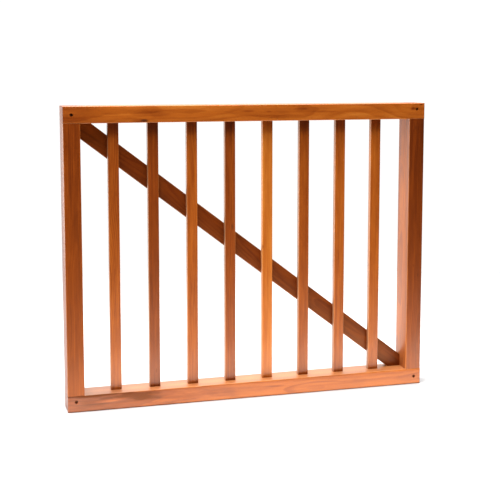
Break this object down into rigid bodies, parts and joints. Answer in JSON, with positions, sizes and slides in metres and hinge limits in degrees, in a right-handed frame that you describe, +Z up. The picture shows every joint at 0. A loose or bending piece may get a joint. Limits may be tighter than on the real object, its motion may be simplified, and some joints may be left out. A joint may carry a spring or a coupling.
{
  "type": "wooden slatted gate",
  "caption": "Low wooden gate leaf: a deep rectangular frame with half-lapped corners, slim upright slats let into both rails and a diagonal brace behind them.",
  "frame": {"origin": "centre of the hinge stile's outer face, at half the leaf's height and half its depth", "axes": "+X points out of the hinge stile's outer face, so the leaf lies at negative X; the front faces -Y; +Z is up"},
  "size_m": [1, 0.072, 0.8],
  "materials": {
    "rail_wood": "satin oiled hardwood",
    "stile_wood": "satin oiled hardwood",
    "slat_wood": "satin oiled hardwood",
    "brace_wood": "satin oiled hardwood",
    "screw_metal": "dull bronze-coated steel",
    "brace_screw_metal": "zinc-plated steel, dulled"
  },
  "bodies": {
    "root": {"top_rail": "rail_wood", "bottom_rail": "rail_wood", "latch_stile": "stile_wood", "hinge_stile": "stile_wood", "slat_1": "slat_wood", "slat_2": "slat_wood", "slat_3": "slat_wood", "slat_4": "slat_wood", "slat_5": "slat_wood", "slat_6": "slat_wood", "slat_7": "slat_wood", "slat_8": "slat_wood", "diagonal_brace": "brace_wood", "corner_screw_top_latch": "screw_metal", "corner_screw_top_hinge": "screw_metal", "corner_screw_bottom_latch": "screw_metal", "corner_screw_bottom_hinge": "screw_metal", "brace_screw_1": "brace_screw_metal", "brace_screw_2": "brace_screw_metal", "brace_screw_3": "brace_screw_metal", "brace_screw_4": "brace_screw_metal", "brace_screw_5": "brace_screw_metal", "brace_screw_6": "brace_screw_metal", "brace_screw_7": "brace_screw_metal", "brace_screw_8": "brace_screw_metal"}
  },
  "joints": []
}
